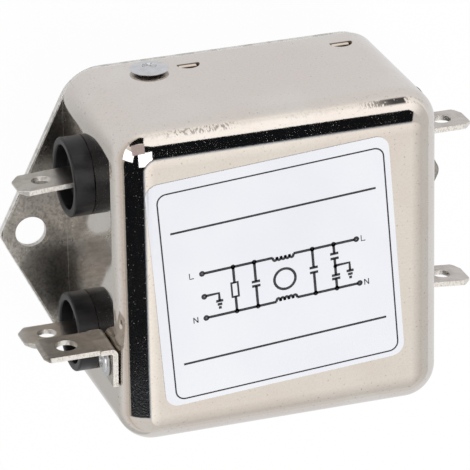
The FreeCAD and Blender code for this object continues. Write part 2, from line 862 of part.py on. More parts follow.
straight_tab = make_tab(0)
input_line_tab = opposite(make_tab(input_line_bend_angle))
output_neutral_tab = make_tab(-output_neutral_bend_angle)
parts["input_line_tab"] = moved_in_y(input_line_tab, terminal_offset)
parts["input_neutral_tab"] = moved_in_y(opposite(straight_tab), -terminal_offset)
parts["output_line_tab"] = moved_in_y(straight_tab, terminal_offset)
parts["output_neutral_tab"] = moved_in_y(output_neutral_tab, -terminal_offset)

bushing = make_bushing()
parts["input_line_bushing"] = moved_in_y(opposite(bushing), terminal_offset)
parts["input_neutral_bushing"] = moved_in_y(opposite(bushing), -terminal_offset)
parts["output_line_bushing"] = moved_in_y(bushing, terminal_offset)
parts["output_neutral_bushing"] = moved_in_y(bushing, -terminal_offset)

parts["ground_tab"] = make_ground_tab()
parts["ground_tab_rivet"] = make_ground_rivet()
parts["ground_lug"] = make_ground_lug()
parts["ground_lead"] = make_ground_lead()

pins_through_board = board_pins()
parts["insulating_liner"] = make_liner()
parts["circuit_board"] = make_board(pins_through_board)
parts["solder_joints"] = make_solder(pins_through_board)

parts["line_capacitor_input"] = make_box_cap(-1)
parts["line_capacitor_output"] = make_box_cap(1)
disc_cap = make_disc_cap()
parts["ground_capacitor_line"] = disc_cap
parts["ground_capacitor_neutral"] = mirrored_in_y(disc_cap)
parts["bleed_resistor"] = make_resistor()

winding = make_winding()
parts["choke_core"] = make_core()
parts["choke_base"] = make_choke_base()
parts["choke_winding_line"] = winding
parts["choke_winding_neutral"] = opposite(winding)

os.makedirs("parts", exist_ok=True)
for name, shape in parts.items():
    shape.exportStep("parts/" + name + ".step")
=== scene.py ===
import math

import bmesh
import bpy
from mathutils import Matrix, Vector


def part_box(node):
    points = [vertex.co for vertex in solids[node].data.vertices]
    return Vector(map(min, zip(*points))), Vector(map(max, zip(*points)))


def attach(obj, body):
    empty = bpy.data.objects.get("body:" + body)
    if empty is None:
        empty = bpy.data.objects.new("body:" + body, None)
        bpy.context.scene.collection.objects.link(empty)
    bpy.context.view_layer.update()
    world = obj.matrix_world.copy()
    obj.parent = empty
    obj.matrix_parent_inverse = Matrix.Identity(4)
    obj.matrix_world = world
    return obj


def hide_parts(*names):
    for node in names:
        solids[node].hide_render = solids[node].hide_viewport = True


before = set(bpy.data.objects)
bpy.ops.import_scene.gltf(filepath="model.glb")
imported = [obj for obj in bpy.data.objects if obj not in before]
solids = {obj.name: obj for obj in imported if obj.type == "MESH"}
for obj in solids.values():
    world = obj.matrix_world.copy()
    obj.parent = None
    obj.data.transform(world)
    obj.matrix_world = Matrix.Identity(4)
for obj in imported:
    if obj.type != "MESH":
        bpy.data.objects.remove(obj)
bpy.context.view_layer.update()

# A small chassis-mount line filter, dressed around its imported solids. Metres, with the
# base plate's underside in Z = 0, the label facing +Z and the input terminals to -X.
MM = 0.001

# The view. A long lens looks down on the label from beyond the line terminals, with the
# input end nearer, and a slight roll. The place was solved from the can's straight edges.
view_place = Vector((-0.183282, 0.255619, 0.559202))
view_aim = Vector((0.287477, -0.40608, -0.867443))
view_right = Vector((0.946657, -0.017208, 0.321784))

lens = bpy.data.cameras.new("view")
lens.lens = 321.5
lens.sensor_width = 36.0
lens.clip_start = 0.01
lens.clip_end = 20.0
view = bpy.data.objects.new("view", lens)
bpy.context.scene.collection.objects.link(view)
view_back = -view_aim
view_up = view_back.cross(view_right)
view.matrix_world = Matrix((
    (view_right.x, view_up.x, view_back.x, view_place.x),
    (view_right.y, view_up.y, view_back.y, view_place.y),
    (view_right.z, view_up.z, view_back.z, view_place.z),
    (0, 0, 0, 1),
))
bpy.context.scene.camera = view
bpy.context.scene.view_settings.view_transform = "Standard"


# The studio. A soft box hangs overhead, the surround below is pale and screens stand at two
# sides. The room behind the camera stays dark, which puts the dark bands on the plating's
# rounded edges, and three small boxes beside the camera light the near corner.
class Signal:
    """A node's output. Used in an expression, it adds the Math nodes."""

    def __init__(self, graph, socket):
        self.graph = graph
        self.socket = socket

    def combined(self, operation, first, second):
        return self.graph.node("ShaderNodeMath", {"operation": operation}, {0: first, 1: second})

    def __add__(self, other):
        return self.combined("ADD", self, other)

    def __radd__(self, other):
        return self.combined("ADD", other, self)

    def __sub__(self, other):
        return self.combined("SUBTRACT", self, other)

    def __rsub__(self, other):
        return self.combined("SUBTRACT", other, self)

    def __mul__(self, other):
        return self.combined("MULTIPLY", self, other)

    def __abs__(self):
        return self.combined("ABSOLUTE", self, 0)

    def larger(self, other):
        """The larger of this and another value."""
        return self.combined("MAXIMUM", self, other)

    def step(self, low, high):
        """0 below low, 1 above high, and a smooth rise between them."""
        return self.graph.node(
            "ShaderNodeMapRange",
            {"interpolation_type": "SMOOTHSTEP"},
            {"Value": self, "From Min": low, "From Max": high},
        )


class Graph:
    """A shader or geometry tree, with one method that adds any node to it."""

    def __init__(self, tree):
        self.tree = tree
        tree.nodes.clear()

    def node(self, kind, settings=None, inputs=None, output=0):
        made = self.tree.nodes.new(kind)
        for name, value in (settings or {}).items():
            setattr(made, name, value)
        for name, value in (inputs or {}).items():
            if isinstance(value, Signal):
                self.tree.links.new(value.socket, made.inputs[name])
            else:
                made.inputs[name].default_value = value
        if not made.outputs:
            return made
        return Signal(self, made.outputs[output])

    def given(self, name):
        """One of a geometry tree's named inputs."""
        return self.node("NodeGroupInput", output=name)

    def dot(self, vector, direction):
        """The share of a vector along a fixed direction."""
        return self.node(
            "ShaderNodeVectorMath",
            {"operation": "DOT_PRODUCT"},
            {0: vector, 1: Vector(direction).normalized()},
            "Value",
        )

    def blend(self, share, first, second):
        """The colour between two others."""
        return self.node(
            "ShaderNodeMix",
            {"data_type": "RGBA"},
            {"Factor": share, "A": colour_value(first), "B": colour_value(second)},
            "Result",
        )


def colour_value(colour):
    """A colour as a socket takes it."""
    return colour if isinstance(colour, Signal) else (*colour, 1)


# Levels of light as the plating mirrors them. The plain level lights everything dull.
plain_level = 0.62
overhead_level = 0.94
surround_level = 0.74
side_level = 0.7
dark_level = 0.007

# Each near box's direction, its width's direction, half width, half height, level, colour.
box_edge = 0.03
near_boxes = (
    ((-0.886, 0.326, 0.331), (0, 1, 0), 0.24, 0.29, 2.0, (1, 1, 1)),
    ((-0.184, 0.245, 0.95), (1, 0, 0), 0.36, 0.36, 2.0, (1, 1, 1)),
    ((-0.463, 0.706, 0.527), (0.61, 0.2, 0.33), 0.33, 0.265, 0.5, (1, 0.86, 0.84)),
)

world = bpy.data.worlds.new("studio")
world.use_nodes = True
bpy.context.scene.world = world
studio = Graph(world.node_tree)
direction = studio.node("ShaderNodeTexCoord", output="Generated")


def ray_kinds(graph):
    """1 for a ray from the camera, from a mirror, and through a clear piece."""
    kinds = ("Camera", "Glossy", "Transmission")
    return [graph.node("ShaderNodeLightPath", output=f"Is {kind} Ray") for kind in kinds]


def box_in_room(place, across, half_width, half_height):
    """1 where a reflection looks at a square-cornered box in the given direction."""
    facing = Vector(place).normalized()
    width_way = (Vector(across) - facing * facing.dot(Vector(across))).normalized()
    height_way = facing.cross(width_way)
    inside = studio.dot(direction, facing).step(0, 0.1)
    for way, half in ((width_way, half_width), (height_way, half_height)):
        inside = inside * (1 - abs(studio.dot(direction, way)).step(half, half + box_edge))
    return inside


up_share = studio.dot(direction, (0, 0, 1))
line_share = studio.dot(direction, (0, 1, 0))
output_share = studio.dot(direction, (1, 0, 0))

# The soft box overhead, dimmer towards the output and the neutral sides.
overhead_share = studio.dot(direction, (0.356, -0.458, 0.815))
overhead = overhead_share.step(0.755, 0.86)
clear_of_overhead = 1 - overhead_share.step(0.745, 0.775)
output_slope = studio.dot(direction, (0.94, 0, -0.31)) * 0.5
neutral_slope = studio.dot(direction, (0, -0.9, -0.42)) * 0.3
overhead_glow = overhead * (1 - output_slope - neutral_slope) * overhead_level

# The surround below, brighter by the backdrop and dimmer at the input end, with a gap in it.
below_share = studio.dot(direction, (0.2, 0.2, -0.96))
surround = below_share.step(-0.37, -0.345)
backdrop_glow = up_share.step(-0.3, 0.25) * line_share.step(0.2, 0.85) * 0.5
output_loss = output_share.step(0.4, 0.9) * 0.1
input_fade = (1 - below_share.step(-0.34, 0.05)) * (0 - output_share).step(0.3, 0.8)
surround_glow = surround * (surround_level - output_loss + backdrop_glow)
surround_glow = surround_glow * (1 - input_fade * 0.42)
surround_gap = box_in_room((-0.38, 0.91, 0.1), (0.43, 0.15, 0.19), 0.34, 0.17)

# The side screens, past the output end and on the neutral side.
side = (output_share - line_share.larger(0) * 0.35).step(0.33, 0.37)
side = side.larger((0 - line_share).step(0.44, 0.5))
side_glow = side * (side_level - output_share * 0.08)

room = overhead_glow.larger(surround_glow * (1 - surround_gap)).larger(side_glow)
room = room.larger(dark_level)
tint = studio.blend(surround.larger(side), (0.8, 0.92, 1.12), (1, 0.99, 0.98))
tint = studio.blend(surround * input_fade, tint, (1, 0.93, 0.85))
tint = studio.blend(overhead, tint, (1.0, 0.972, 0.935))
for place, across, half_width, half_height, level, colour in near_boxes:
    box = box_in_room(place, across, half_width, half_height) * clear_of_overhead
    room = room * (1 - box) + box * level
    tint = studio.blend(box, tint, colour)
seen, mirrored, passed = ray_kinds(studio)
direct = seen.larger(passed)
indirect = mirrored * room + (1 - mirrored) * plain_level
strength = direct + (1 - direct) * indirect
background = studio.node(
    "ShaderNodeBackground",
    inputs={"Strength": strength, "Color": studio.blend(mirrored, (1, 1, 1), tint)},
)
studio.node("ShaderNodeOutputWorld", inputs={"Surface": background})

# Floor. White paper that the camera sees as plain white. In a mirror it is pale, brighter
# by the backdrop, warmer far past the input end and darker beside the input wall, where a
# shadow is painted on it.
floor_half = 3.0
floor_level = -0.02 * MM
floor_mesh = bpy.data.meshes.new("floor")
floor_mesh.from_pydata(
    [
        (-floor_half, -floor_half, floor_level),
        (floor_half, -floor_half, floor_level),
        (floor_half, floor_half, floor_level),
        (-floor_half, floor_half, floor_level),
    ],
    [],
    [(0, 1, 2, 3)],
)
floor_material = bpy.data.materials.new("floor")
floor_material.use_nodes = True
paper = Graph(floor_material.node_tree)
seen, mirrored, passed = ray_kinds(paper)
paper_place = paper.node("ShaderNodeTexCoord", output="Object")
toward_line = paper.dot(paper_place, (0, 1, 0))
toward_output = paper.dot(paper_place, (1, 0, 0))
by_backdrop = toward_line.step(0.04, 0.3)
past_input = (0 - toward_output).step(0.03, 0.22)
# Painted shadow: the paper beside the input wall is darker as the can's mirror sees it.
shade_by_input_wall = toward_output.step(-0.08, -0.034) * (1 - toward_output.step(-0.029, -0.02))
shade_by_input_wall = shade_by_input_wall * (1 - toward_line.step(0.016, 0.028))
paper_mirrored = paper.blend(by_backdrop, (0.78, 0.782, 0.80), (1.06, 1.04, 1.0))
paper_mirrored = paper.blend(past_input, paper_mirrored, (0.636, 0.577, 0.534))
paper_mirrored = paper.blend(shade_by_input_wall, paper_mirrored, (0.53, 0.535, 0.53))
paper_glow = paper.node(
    "ShaderNodeEmission",
    inputs={"Color": paper.blend(seen, paper_mirrored, (1, 1, 1))},
)
paper_grain = paper.node("ShaderNodeTexNoise", inputs={"Vector": paper_place, "Scale": 3.0})
paper_matt = paper.node(
    "ShaderNodeBsdfDiffuse",
    inputs={"Color": paper.blend(paper_grain, (0.9, 0.9, 0.91), (0.94, 0.94, 0.94))},
)
paper_glow_share = seen.larger(mirrored).larger(passed) * 0.965
paper_mix = paper.node(
    "ShaderNodeMixShader", inputs={0: paper_glow_share, 1: paper_matt, 2: paper_glow}
)
paper.node("ShaderNodeOutputMaterial", inputs={"Surface": paper_mix})
floor_mesh.materials.append(floor_material)
floor = bpy.data.objects.new("floor", floor_mesh)
bpy.context.scene.collection.objects.link(floor)

lamp_data = bpy.data.lights.new("soft_box", "AREA")
lamp_data.shape = "DISK"
lamp_data.size = 0.45
lamp_data.energy = 2.6
lamp = bpy.data.objects.new("soft_box", lamp_data)
lamp_place = Vector((0.2, -0.25, 0.65))
lamp_turn = lamp_place.to_track_quat("Z", "Y").to_matrix().to_4x4()
lamp.matrix_world = Matrix.Translation(lamp_place) @ lamp_turn
lamp.visible_glossy = False
bpy.context.scene.collection.objects.link(lamp)


# Base plate. A flat stamping of nickel-plated steel with two triangular ears, rolled over
# at its upper edge by the punch. It has been handled, so its plating is dull and mottled.
def shade(graph, base_color, roughness, metallic=0.0, normal=None, **constants):
    """Closes a material with one Principled shader."""
    inputs = {"Base Color": colour_value(base_color), "Roughness": roughness, "Metallic": metallic}
    if normal is not None:
        inputs["Normal"] = normal
    inputs.update({key.replace("_", " "): value for key, value in constants.items()})
    surface = graph.node("ShaderNodeBsdfPrincipled", inputs=inputs)
    graph.node("ShaderNodeOutputMaterial", inputs={"Surface": surface})


def new_finish(name):
    """An empty material, its graph and its Object coordinates."""
    material = bpy.data.materials.new(name)
    material.use_nodes = True
    graph = Graph(material.node_tree)
    return material, graph, graph.node("ShaderNodeTexCoord", output="Object")


def grain(graph, place, scale, detail=3.0, stretch=(1, 1, 1), distortion=0.0, roughness=0.5):
    """Noise whose features are 1 / scale metres wide, drawn out by stretch."""
    stretched = graph.node("ShaderNodeMapping", inputs={"Vector": place, "Scale": stretch})
    return graph.node(
        "ShaderNodeTexNoise",
        inputs={
            "Vector": stretched,
            "Scale": scale,
            "Detail": detail,
            "Distortion": distortion,
            "Roughness": roughness,
        },
    )


def bumped(graph, height, strength, depth):
    """A normal raised by a height signal; depth is the full height in metres."""
    return graph.node(
        "ShaderNodeBump",
        inputs={"Height": height, "Strength": strength, "Distance": depth},
    )


def nickel(name, colour, stain, gloss, cloud, wear, pitting, marks=None):
    """Nickel plate: a warm mirror with clouding, fine rubs, pits and a few dark specks."""
    material, graph, place = new_finish(name)
    clouds = grain(graph, place, 160, 4.0, distortion=0.6)
    mottle = grain(graph, place, 2600, 2.0).step(0.38, 0.66)
    rubs = grain(graph, place, 900, 2.0, (1, 0.06, 0.06))
    ripple = grain(graph, place, 95, 1.0)
    pits = grain(graph, place, 3200, 1.0)
    dust = grain(graph, place, 4300, 1.0).step(0.70, 0.76)
    specks = grain(graph, place, 2600, 1.0).step(0.70, 0.76)
    blotches = grain(graph, place, 55, 1.0).step(0.42, 0.66)
    pit_colour = [part * 0.45 for part in stain]
    speck_colour = (0.12, 0.11, 0.1)
    tone = graph.blend(clouds.step(0.35, 0.75) * cloud, colour, stain)
    tone = graph.blend(blotches * cloud, tone, stain)
    tone = graph.blend(mottle * pitting, tone, pit_colour)
    tone = graph.blend(specks * 0.35, tone, speck_colour)
    roughness = gloss + clouds * (cloud * 0.08) + rubs.step(0.5, 0.75) * wear + dust * 0.22
    if marks:
        tone, roughness = marks(graph, place, tone, roughness)
    relief = ripple + rubs * 0.01 + pits * pitting
    shade(graph, tone, roughness, 1.0, bumped(graph, relief, 0.4, 0.09 * MM))
    return material


def merged_copy(node):
    """A solid's mesh copied, and its shape with the corners that meet made one."""
    skin = solids[node].data.copy()
    shape = bmesh.new()
    shape.from_mesh(skin)
    bmesh.ops.remove_doubles(shape, verts=shape.verts, dist=0.001 * MM)
    return skin, shape


def baked(piece):
    """The object's mesh with its modifiers worked in, and the working object removed."""
    evaluated = piece.evaluated_get(bpy.context.evaluated_depsgraph_get())
    result = bpy.data.meshes.new_from_object(evaluated)
    bpy.data.objects.remove(piece)
    return result


def worked_copy(node, rounding):
    """A solid's mesh merged into one skin, its sharp edges rounded and its flats kept flat."""
    skin, shape = merged_copy(node)
    bmesh.ops.dissolve_limit(
        shape, angle_limit=math.radians(0.4), verts=shape.verts, edges=shape.edges
    )
    shape.to_mesh(skin)
    shape.free()
    skin.shade_smooth()
    piece = bpy.data.objects.new("rough", skin)
    bpy.context.scene.collection.objects.link(piece)
    crease = math.radians(32)
    if rounding:
        edge = piece.modifiers.new("rounding", "BEVEL")
        edge.width = rounding
        edge.segments = 2
        edge.limit_method = "ANGLE"
        edge.angle_limit = crease
        edge.use_clamp_overlap = True
    flats = piece.modifiers.new("flats", "WEIGHTED_NORMAL")
    flats.keep_sharp = True
    skin.set_sharp_from_angle(angle=math.radians(75) if rounding else crease)
    return baked(piece)


def finished(name, mesh, material, slot, *nodes, edges=None, flats=()):
    """A piece of the object, standing for the named solids, with its own finish on cut edges."""
    mesh.materials.clear()
    mesh.materials.append(material)
    if edges:
        mesh.materials.append(edges)
        cut_edges(mesh, flats)
    mesh.name = name
    piece = bpy.data.objects.new(name, mesh)
    bpy.context.scene.collection.objects.link(piece)
    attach(piece, "root")
    if nodes:
        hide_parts(*nodes)
    return piece


def cut_edges(mesh, flats):
    """Gives the second finish, a painted highlight, to the sheared faces that face off the flats.
    """
    off_flat = 0.6
    for face in mesh.polygons:
        facing = max(abs(face.normal @ Vector(flat)) for flat in flats)
        face.material_index = 1 if facing < off_flat else 0


def sheared_with_highlight(name, colour, torn, scale, through, metallic):
    """A cut edge: smeared metal, painted bright as a highlight, with small dark tears drawn out
    through the sheet.
    """
    material, graph, place = new_finish(name)
    tears = grain(graph, place, scale, 2.0, through)
    tone = graph.blend(tears.step(0.5, 0.62), colour, torn)
    shade(graph, tone, 0.34 + tears * 0.2, metallic, bumped(graph, tears, 0.6, 0.05 * MM))
    return material


plate_rounding = 0.06 * MM
plate_nickel = nickel(
    "plate_nickel",
    colour=(0.62, 0.595, 0.56),
    stain=(0.34, 0.322, 0.298),
    gloss=0.24,
    cloud=0.9,
    wear=0.06,
    pitting=0.45,
)
# Cut edges painted near white: a painted highlight along the plate's sheared edges.
plate_edge_highlight = sheared_with_highlight(
    "plate_edge_highlight",
    colour=(1.0, 0.985, 0.95),
    torn=(0.78, 0.76, 0.72),
    scale=900,
    through=(1, 1, 0.35),
    metallic=0.15,
)
finished(
    "eared_plate",
    worked_copy("base_plate", plate_rounding),
    plate_nickel,
    "nickel_plate",
    "base_plate",
    edges=plate_edge_highlight,
    flats=((0, 0, 1),),
)


# Inside the can. A fibre sheet keeps the solder side of the board off the plate; the board
# carries the capacitors, the resistor and the two-winding choke. None of it shows.
def finish_solids(material, *names):
    """Gives carried-over solids their finish."""
    for name in names:
        solid = solids[name]
        if solid.material_slots:
            solid.material_slots[0].material = material
        else:
            solid.data.materials.append(material)


def coated(name, colour, shadow, scale, gloss, metallic=0.0, relief=0.02 * MM):
    """A moulded, dipped or plated coat whose tone drifts, over a fine skin."""
    material, graph, place = new_finish(name)
    drift = grain(graph, place, scale, 3.0)
    skin = grain(graph, place, scale * 12, 2.0)
    tone = graph.blend(drift.step(0.3, 0.75), colour, shadow)
    shade(graph, tone, gloss + drift * 0.1, metallic, bumped(graph, skin, 0.3, relief))
    return material


def fibre(name, light, dark, scale, gloss):
    """A sheet with a woven or fibrous grain, crossed at right angles."""
    material, graph, place = new_finish(name)
    warp = grain(graph, place, scale, 2.0, (1, 0.08, 1))
    weft = grain(graph, place, scale, 2.0, (0.08, 1, 1))
    weave = (warp + weft) * 0.5
    tone = graph.blend(weave.step(0.35, 0.65), light, dark)
    shade(graph, tone, gloss + weave * 0.15, 0.0, bumped(graph, weave, 0.4, 0.02 * MM))
    return material


fish_paper = fibre("fish_paper", (0.72, 0.68, 0.55), (0.6, 0.55, 0.42), 900, 0.6)
laminate = fibre("laminate", (0.42, 0.30, 0.13), (0.33, 0.22, 0.08), 1500, 0.35)
solder = coated("solder", (0.74, 0.74, 0.76), (0.5, 0.5, 0.53), 900, 0.25, metallic=1.0)
capacitor_case = coated("capacitor_case", (0.70, 0.62, 0.30), (0.62, 0.53, 0.24), 120, 0.35)
disc_dip = coated("disc_dip", (0.03, 0.10, 0.38), (0.02, 0.07, 0.28), 300, 0.22)
core_coat = coated("core_coat", (0.05, 0.16, 0.07), (0.03, 0.10, 0.05), 400, 0.45)
choke_moulding = coated("choke_moulding", (0.03, 0.03, 0.032), (0.02, 0.02, 0.02), 600, 0.5)
lead_sleeve = coated("lead_sleeve", (0.05, 0.28, 0.06), (0.04, 0.2, 0.05), 250, 0.4)
magnet_wire = coated("magnet_wire", (0.62, 0.24, 0.07), (0.5, 0.17, 0.05), 200, 0.2, metallic=1.0)
finish_solids(fish_paper, "insulating_liner")
finish_solids(laminate, "circuit_board")
finish_solids(solder, "solder_joints")
finish_solids(capacitor_case, "line_capacitor_input", "line_capacitor_output")
finish_solids(disc_dip, "ground_capacitor_line", "ground_capacitor_neutral")
finish_solids(core_coat, "choke_core")
finish_solids(choke_moulding, "choke_base")
finish_solids(lead_sleeve, "ground_lead")
finish_solids(magnet_wire, "choke_winding_line", "choke_winding_neutral")

resistor_low, resistor_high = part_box("bleed_resistor")
resistor_middle = (resistor_low.x + resistor_high.x) / 2
band_pitch = 1.1 * MM
band_half = 0.22 * MM
band_soft = 0.05 * MM
band_colours = ((0.28, 0.05, 0.02), (0.02, 0.02, 0.02), (0.75, 0.45, 0.05), (0.55, 0.38, 0.12))
resistor_coat, graph, place = new_finish("resistor_coat")
along = graph.dot(place, (1, 0, 0)) - resistor_middle
coat_tone = graph.blend(grain(graph, place, 500), (0.62, 0.48, 0.28), (0.55, 0.41, 0.22))
for number, band in enumerate(band_colours):
    distance = abs(along - (number - (len(band_colours) - 1) / 2) * band_pitch)
    inside = 1 - distance.step(band_half, band_half + band_soft)
    coat_tone = graph.blend(inside, coat_tone, band)
shade(graph, coat_tone, 0.3)
finish_solids(resistor_coat, "bleed_resistor")


# Angle strips. Zinc-plated steel, spot-welded to the plate along the can's long walls,
# which are riveted to them. The can hides them.
zinc = coated("zinc", (0.60, 0.61, 0.63), (0.46, 0.47, 0.5), 350, 0.32, metallic=1.0)
finish_solids(zinc, "rivet_strip_top", "rivet_strip_bottom")


# Can. Deep-drawn steel, bright nickel plated, 50 mm square with 5.3 mm round edges. Its
# mirror shows the ear, the terminal bushings and the ground tab beside each wall.
can_low, can_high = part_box("can")
can_radius = 5.3 * MM
can_wall = 0.8 * MM


def can_normal(point, inset):
    """The outward direction of the can's rounded block, and the point's distance from it."""
    reach = can_radius - inset
    core_x = can_high.x - can_radius
    core_y = can_high.y - can_radius
    core_top = can_high.z - can_radius
    nearest = Vector((
        max(-core_x, min(core_x, point.x)),
        max(-core_y, min(core_y, point.y)),
        min(core_top, point.z),
    ))
    outward = point - nearest
    return outward.normalized(), abs(outward.length - reach)


def can_shell():
    """The can's mesh with normals taken from its true form, so that its mirror is smooth."""
    skin, shape = merged_copy("can")
    shape.to_mesh(skin)
    shape.free()
    skin.shade_smooth()
    normals = []
    near = 0.01 * MM
    aligned = math.cos(math.radians(12))
    for face in skin.polygons:
        corners = [skin.vertices[index].co for index in face.vertices]
        for side, inset in ((1, 0), (-1, can_wall)):
            found = [can_normal(corner, inset) for corner in corners]
            agreement = side * (face.normal @ can_normal(face.center, inset)[0])
            if agreement > aligned and all(gap < near for way, gap in found):
                normals += [side * way for way, gap in found]
                break
        else:
            normals += [face.normal.copy()] * len(corners)
    skin.normals_split_custom_set(normals)
    return skin


# Where the lances stand along the wall, and each scuff's middle and half length.
first_lance = can_low.x + 18.6 * MM
last_lance = can_high.x - 7.2 * MM
lance_slit = 4.6 * MM
lance_radius = 1.8 * MM
scuff_drop = 2.28 * MM
scuff_soft = 3 * MM
scuffs = ((-12 * MM, 3.6 * MM), (16.9 * MM, 2.5 * MM))


def near_value(signal, middle, half, soft):
    """1 where a signal is within half of the middle value."""
    return 1 - abs(signal - middle).step(half, half + soft)


def can_marks(graph, place, tone, roughness):
    """Painted shade in the slits over the lances, the die's scuffs on the upper round edge and a
    painted highlight along the rim.
    """
    along = graph.dot(place, (1, 0, 0))
    across = graph.dot(place, (0, 1, 0))
    height = graph.dot(place, (0, 0, 1))

    long_wall = abs(across).step(can_high.y - 0.9 * MM, can_high.y - 0.8 * MM)
    # Painted shade: the open slit over each lance is painted near black, all but its lit lip.
    slit_shade = near_value(height, lance_slit + 0.05 * MM, 0.18 * MM, 0.15 * MM) * long_wall
    torn_lip = near_value(abs(across), can_high.y - 0.34 * MM, 0.18 * MM, 0.06 * MM)
    for middle in (first_lance, last_lance):
        in_slit_shade = near_value(along, middle, lance_radius - 0.2 * MM, 0.25 * MM) * slit_shade
        bright = torn_lip * near_value(along, middle, lance_radius - 0.5 * MM, 0.2 * MM)
        tone = graph.blend(in_slit_shade * (1 - bright) * 0.85, tone, (0.03, 0.028, 0.024))

    dark_end = along.step(13.5 * MM, 18 * MM) * (1 - along.step(19.3 * MM, 19.9 * MM))
    ticks = (grain(graph, place, 3600, 2.0, (1, 0.4, 0.4)) + dark_end * 0.2).step(0.48, 0.56)
    patches = grain(graph, place, 150, 1.0, (1, 0.3, 0.3)).step(0.46, 0.58)
    strength = patches * 0.2
    for middle, half in scuffs:
        strength = strength.larger(near_value(along, middle, half, scuff_soft))
    strength = strength * (0.55 + dark_end * 0.45)
    on_edge = near_value(height, can_high.z - scuff_drop, 0.28 * MM, 0.36 * MM)
    on_edge = on_edge * across.step(can_high.y - 3 * MM, can_high.y - 2 * MM)
    tone = graph.blend(on_edge * ticks * strength, tone, (0.055, 0.052, 0.05))

    # Painted highlight: a pale band along the can's rim where it meets the plate.
    rim = 1 - height.step(can_low.z + 0.12 * MM, can_low.z + 0.25 * MM)
    return graph.blend(rim * 0.8, tone, (0.95, 0.93, 0.9)), roughness + rim * 0.3


can_nickel = nickel(
    "can_nickel",
    colour=(0.80, 0.757, 0.702),
    stain=(0.765, 0.695, 0.64),
    gloss=0.04,
    cloud=0.6,
    wear=0.03,
    pitting=0.07,
    marks=can_marks,
)
finished("drawn_can", can_shell(), can_nickel, "nickel_can", "can")


# Turned pieces. Rivets and bushings are round about an axis, so one tree turns a drawn
# profile about it, cuts a slot where one is asked for, and stands the piece in its place.
def softened(points, radii, steps=5):
    """A profile with an arc of the given radius at each corner."""
    result = []
    for number, (point, radius) in enumerate(zip(points, radii)):
        corner = Vector(point)
        if radius == 0:
            result.append(corner)
            continue
        back = (Vector(points[number - 1]) - corner).normalized()
        on = (Vector(points[number + 1]) - corner).normalized()
        half = back.angle(on) / 2
        trim = radius / math.tan(half)
        centre = corner + (back + on).normalized() * (radius / math.sin(half))
        first = corner + back * trim - centre
        last = corner + on * trim - centre
        sweep = (math.pi - 2 * half) * (1 if first.angle_signed(last) < 0 else -1)
        for step in range(steps + 1):
            result.append(centre + Matrix.Rotation(sweep * step / steps, 2) @ first)
    return result


def new_tree(name, inputs, result):
    """An empty Geometry Nodes tree with named inputs, and the inputs' identifiers."""
    tree = bpy.data.node_groups.new(name, "GeometryNodeTree")
    sockets = {}
    for label, kind in inputs.items():
        socket = tree.interface.new_socket(
            name=label, in_out="INPUT", socket_type=f"NodeSocket{kind}"
        )
        sockets[label] = socket.identifier
    tree.interface.new_socket(name=result, in_out="OUTPUT", socket_type="NodeSocketGeometry")
    return tree, sockets


def shaped(mesh, made_tree, values):
    """The mesh that a tree makes of another one, with the tree's named inputs set."""
    tree, sockets = made_tree
    piece = bpy.data.objects.new("rough", mesh)
    bpy.context.scene.collection.objects.link(piece)
    modifier = piece.modifiers.new("shaped", "NODES")
    modifier.node_group = tree
    for name, value in values.items():
        modifier[sockets[name]] = value
    return baked(piece)


seam_gap = 0.0005 * MM


def turning_tree():
    """Turns profile points, radius along X and height along Z, about the Z axis."""
    inputs = {
        "Profile": "Geometry",
        "Segments": "Int",
        "Slot Width": "Float",
        "Slot Thickness": "Float",
        "Turn": "Vector",
        "Place": "Vector",
        "Material": "Material",
    }
    tree, sockets = new_tree("turned_piece", inputs, "Piece")
    graph = Graph(tree)

    def part(vector, axis):
        return graph.node("ShaderNodeSeparateXYZ", inputs={0: vector}, output=axis)

    def of_angle(function, angle):
        return graph.node("ShaderNodeMath", {"operation": function}, {0: angle})

    # A square grid, one row for each profile point, is wrapped round the axis.
    count = graph.node(
        "GeometryNodeAttributeDomainSize",
        {"component": "MESH"},
        {"Geometry": graph.given("Profile")},
        "Point Count",
    )
    sheet = graph.node(
        "GeometryNodeMeshGrid",
        inputs={
            "Size X": 1.0,
            "Size Y": 1.0,
            "Vertices X": graph.given("Segments") + 1,
            "Vertices Y": count,
        },
        output="Mesh",
    )
    position = graph.node("GeometryNodeInputPosition")
    angle = (part(position, "X") + 0.5) * (2 * math.pi)
    along = part(position, "Y") + 0.5
    point = graph.node(
        "GeometryNodeSampleIndex",
        {"data_type": "FLOAT_VECTOR"},
        {
            "Geometry": graph.given("Profile"),
            "Value": position,
            "Index": along * (count - 1) + 0.001,
        },
    )
    radius = part(point, "X")
    place = graph.node(
        "ShaderNodeCombineXYZ",
        inputs={
            "X": radius * of_angle("COSINE", angle),
            "Y": radius * of_angle("SINE", angle),
            "Z": part(point, "Z"),
        },
    )
    body = graph.node("GeometryNodeSetPosition", inputs={"Geometry": sheet, "Position": place})
    body = graph.node(
        "GeometryNodeMergeByDistance", inputs={"Geometry": body, "Distance": seam_gap}
    )

    # A bar along the axis cuts the slot, where one is asked for.
    size = graph.node(
        "ShaderNodeCombineXYZ",
        inputs={"X": graph.given("Slot Width"), "Y": graph.given("Slot Thickness"), "Z": 100 * MM},
    )
    bar = graph.node("GeometryNodeMeshCube", inputs={"Size": size}, output="Mesh")
    slotted = graph.node(
        "GeometryNodeMeshBoolean",
        {"operation": "DIFFERENCE", "solver": "EXACT"},
        {0: body, 1: bar},
    )
    wanted = graph.node(
        "ShaderNodeMath", {"operation": "GREATER_THAN"}, {0: graph.given("Slot Width"), 1: 0.0}
    )
    body = graph.node(
        "GeometryNodeSwitch",
        {"input_type": "GEOMETRY"},
        {"Switch": wanted, "False": body, "True": slotted},
    )

    body = graph.node(
        "GeometryNodeTransform",
        inputs={
            "Geometry": body,
            "Translation": graph.given("Place"),
            "Rotation": graph.given("Turn"),
        },
    )
    body = graph.node("GeometryNodeRealizeInstances", inputs={"Geometry": body})
    body = graph.node(
        "GeometryNodeSetMaterial", inputs={"Geometry": body, "Material": graph.given("Material")}
    )
    graph.node("NodeGroupOutput", inputs={"Piece": body})
    return tree, sockets


turning = turning_tree()


